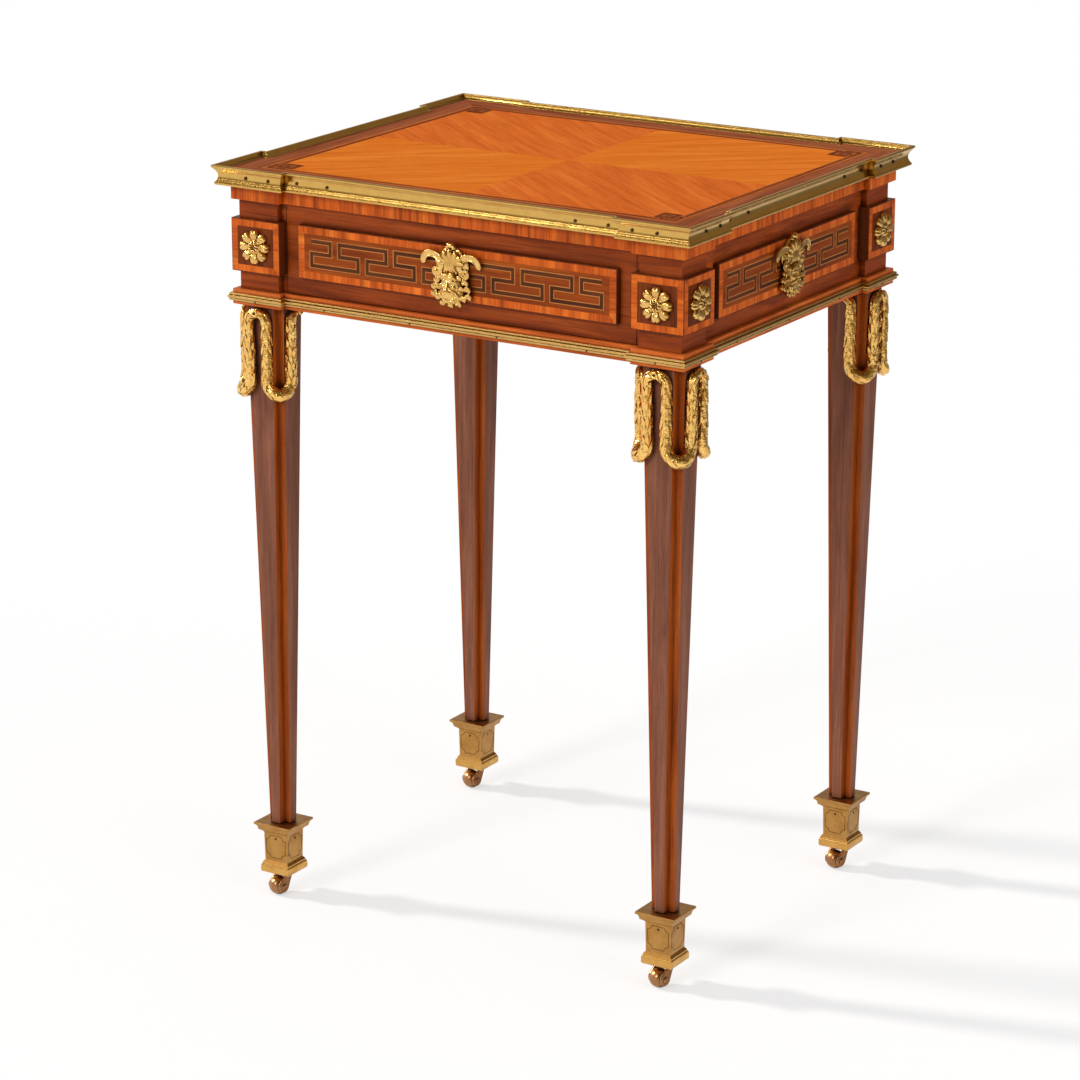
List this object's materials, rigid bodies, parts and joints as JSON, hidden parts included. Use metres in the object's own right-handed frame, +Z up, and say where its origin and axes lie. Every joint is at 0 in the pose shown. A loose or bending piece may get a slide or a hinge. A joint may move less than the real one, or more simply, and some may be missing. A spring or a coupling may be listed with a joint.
{
  "type": "occasional table",
  "caption": "Small rectangular neoclassical table with a frieze drawer, stepped corners, brass-rimmed top, tapering notched legs with laurel swags, and casters.",
  "frame": {"origin": "on the floor under the middle of the top", "axes": "+Z up, -Y out of the drawer front, +X to the right when seen from the front"},
  "size_m": [0.53, 0.446, 0.755],
  "materials": {
    "purplewood": "french polished",
    "tulipwood": "french polished",
    "gilt_bronze": "gilt and burnished",
    "drawer_oak": "bare, waxed"
  },
  "bodies": {
    "table": {"base_brass_band": "gilt_bronze", "base_moulding": "tulipwood", "corner_block_back_left": "tulipwood", "corner_block_back_right": "tulipwood", "corner_block_front_left": "tulipwood", "corner_block_front_right": "tulipwood", "cornice": "tulipwood", "drawer_runner_left": "drawer_oak", "drawer_runner_right": "drawer_oak", "drawer_surround": "purplewood", "leg_back_left": "purplewood", "leg_back_right": "purplewood", "leg_front_left": "purplewood", "leg_front_right": "purplewood", "mask_back": "gilt_bronze", "mask_left": "gilt_bronze", "mask_right": "gilt_bronze", "panel_back": "tulipwood", "panel_left": "tulipwood", "panel_right": "tulipwood", "rail_back": "purplewood", "rail_left": "purplewood", "rail_right": "purplewood", "rosette_back_left_end": "gilt_bronze", "rosette_back_left_long": "gilt_bronze", "rosette_back_right_end": "gilt_bronze", "rosette_back_right_long": "gilt_bronze", "rosette_front_left_end": "gilt_bronze", "rosette_front_left_long": "gilt_bronze", "rosette_front_right_end": "gilt_bronze", "rosette_front_right_long": "gilt_bronze", "sabot_back_left": "gilt_bronze", "sabot_back_right": "gilt_bronze", "sabot_front_left": "gilt_bronze", "sabot_front_right": "gilt_bronze", "swag_back_left": "gilt_bronze", "swag_back_right": "gilt_bronze", "swag_front_left": "gilt_bronze", "swag_front_right": "gilt_bronze", "top_board": "tulipwood", "top_rim": "gilt_bronze"},
    "drawer": {"drawer_front": "purplewood", "drawer_side_left": "drawer_oak", "drawer_side_right": "drawer_oak", "drawer_back": "drawer_oak", "drawer_bottom": "drawer_oak", "panel_front": "tulipwood", "mask_front": "gilt_bronze"},
    "caster_front_left": {"caster_fork_front_left": "gilt_bronze", "caster_axle_front_left": "gilt_bronze"},
    "wheel_front_left": {"caster_wheel_front_left": "gilt_bronze"},
    "caster_front_right": {"caster_fork_front_right": "gilt_bronze", "caster_axle_front_right": "gilt_bronze"},
    "wheel_front_right": {"caster_wheel_front_right": "gilt_bronze"},
    "caster_back_left": {"caster_fork_back_left": "gilt_bronze", "caster_axle_back_left": "gilt_bronze"},
    "wheel_back_left": {"caster_wheel_back_left": "gilt_bronze"},
    "caster_back_right": {"caster_fork_back_right": "gilt_bronze", "caster_axle_back_right": "gilt_bronze"},
    "wheel_back_right": {"caster_wheel_back_right": "gilt_bronze"}
  },
  "joints": [
    {"name": "drawer_slide", "type": "slide", "parent": "table", "child": "drawer", "axis": [0, -1, 0], "range_m": [0, 0.24]},
    {"name": "swivel_front_left", "type": "hinge", "parent": "table", "child": "caster_front_left", "pos_m": [-0.2235, -0.1815, 0.024], "axis": [0, 0, 1], "continuous": true},
    {"name": "roll_front_left", "type": "hinge", "parent": "caster_front_left", "child": "wheel_front_left", "pos_m": [-0.22547, -0.18884, 0.00968], "axis": [0.9659, -0.2588, 0], "continuous": true},
    {"name": "swivel_front_right", "type": "hinge", "parent": "table", "child": "caster_front_right", "pos_m": [0.2235, -0.1815, 0.024], "axis": [0, 0, 1], "continuous": true},
    {"name": "roll_front_right", "type": "hinge", "parent": "caster_front_right", "child": "wheel_front_right", "pos_m": [0.22153, -0.18884, 0.00968], "axis": [0.9659, -0.2588, 0], "continuous": true},
    {"name": "swivel_back_left", "type": "hinge", "parent": "table", "child": "caster_back_left", "pos_m": [-0.2235, 0.1815, 0.024], "axis": [0, 0, 1], "continuous": true},
    {"name": "roll_back_left", "type": "hinge", "parent": "caster_back_left", "child": "wheel_back_left", "pos_m": [-0.22547, 0.17416, 0.00968], "axis": [0.9659, -0.2588, 0], "continuous": true},
    {"name": "swivel_back_right", "type": "hinge", "parent": "table", "child": "caster_back_right", "pos_m": [0.2235, 0.1815, 0.024], "axis": [0, 0, 1], "continuous": true},
    {"name": "roll_back_right", "type": "hinge", "parent": "caster_back_right", "child": "wheel_back_right", "pos_m": [0.22153, 0.17416, 0.00968], "axis": [0.9659, -0.2588, 0], "continuous": true}
  ]
}
